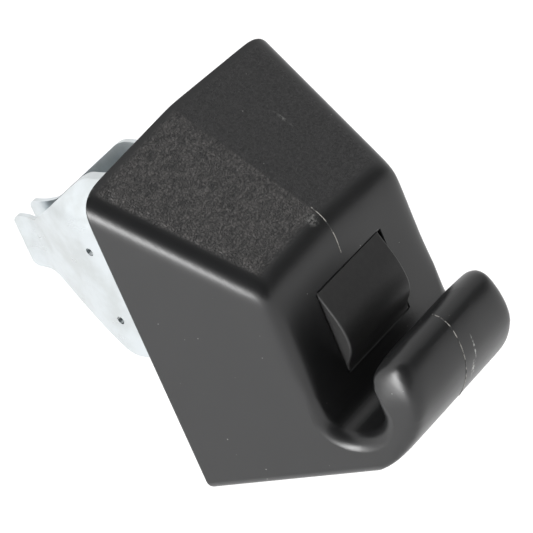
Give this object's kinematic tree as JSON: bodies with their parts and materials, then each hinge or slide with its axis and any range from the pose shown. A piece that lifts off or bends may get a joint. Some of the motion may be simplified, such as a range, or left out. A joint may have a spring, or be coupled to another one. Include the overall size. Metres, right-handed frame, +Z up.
{
  "type": "sun visor hook clip",
  "caption": "Roof hook for a vehicle sun visor: black wedge housing with a rod groove, a sprung detent tongue and a folded spring-steel clip that snaps into the roof panel.",
  "frame": {"origin": "centre of the steel clip on the housing's mounting plane", "axes": "+X out of the roof towards the hook, +Y along the visor rod, +Z up the mounting rim towards the sloping face"},
  "size_m": [0.0702, 0.0384, 0.0469],
  "materials": {
    "housing_plastic": "satin with a leather-grained sloping face",
    "tongue_plastic": "smooth satin",
    "leaf_steel": "plain spring steel",
    "clip_steel": "bright zinc plate"
  },
  "bodies": {
    "housing_body": {"housing": "housing_plastic", "tongue_spring": "leaf_steel", "spring_clip_base": "clip_steel"},
    "tongue_body": {"detent_tongue": "tongue_plastic"},
    "left_leg_body": {"spring_clip_leg_left": "clip_steel"},
    "right_leg_body": {"spring_clip_leg_right": "clip_steel"}
  },
  "joints": [
    {"name": "tongue_press", "type": "hinge", "parent": "housing_body", "child": "tongue_body", "pos_m": [0.0176, 0, 0.0011], "axis": [0, 1, 0], "range_deg": [0, 10], "stiffness_Nm_per_rad": 0.05, "springref_deg": -8.59, "deforming": ["tongue_spring"]},
    {"name": "left_leg_flex", "type": "hinge", "parent": "housing_body", "child": "left_leg_body", "pos_m": [-0.001, -0.00315, 0], "axis": [0, 0, -1], "range_deg": [0, 2], "stiffness_Nm_per_rad": 0.5},
    {"name": "right_leg_flex", "type": "hinge", "parent": "housing_body", "child": "right_leg_body", "pos_m": [-0.001, 0.00315, 0], "axis": [0, 0, 1], "range_deg": [0, 2], "stiffness_Nm_per_rad": 0.5}
  ]
}
